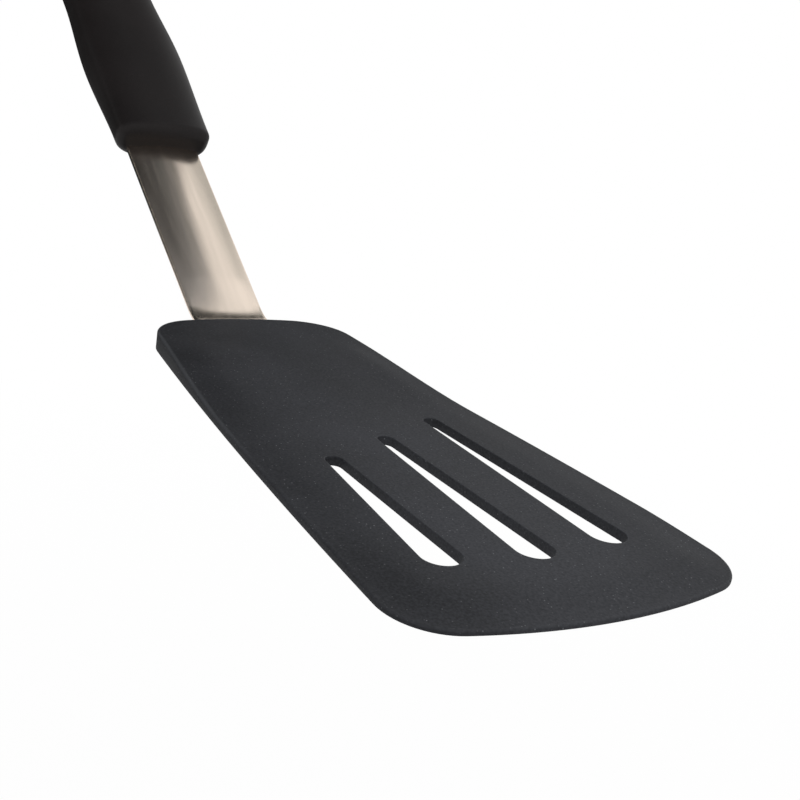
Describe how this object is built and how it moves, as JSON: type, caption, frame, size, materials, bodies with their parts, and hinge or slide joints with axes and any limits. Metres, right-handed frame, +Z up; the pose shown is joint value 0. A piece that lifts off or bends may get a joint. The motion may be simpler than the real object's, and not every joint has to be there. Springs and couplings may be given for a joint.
{
  "type": "omelette spatula",
  "caption": "Omelette turner with a slotted charcoal silicone blade over a steel core, a crowned brushed steel neck and a black soft-grip handle with a hanging hole.",
  "frame": {"origin": "on the blade's flat underside, on its centre line, 36 mm ahead of its back edge", "axes": "+X towards the blade's front edge, +Y towards the tool's left side, +Z up out of the blade's top"},
  "size_m": [0.3178, 0.073, 0.0996],
  "materials": {
    "charcoal_silicone": "matte moulded silicone",
    "core_steel": "rolled stainless sheet",
    "neck_steel": "brushed along the neck",
    "hard_plastic": "plain moulded",
    "soft_grip": "satin soft touch"
  },
  "bodies": {
    "root": {"silicone_blade": "charcoal_silicone", "blade_core": "core_steel", "neck": "neck_steel", "handle_core": "hard_plastic", "grip": "soft_grip"}
  },
  "joints": []
}
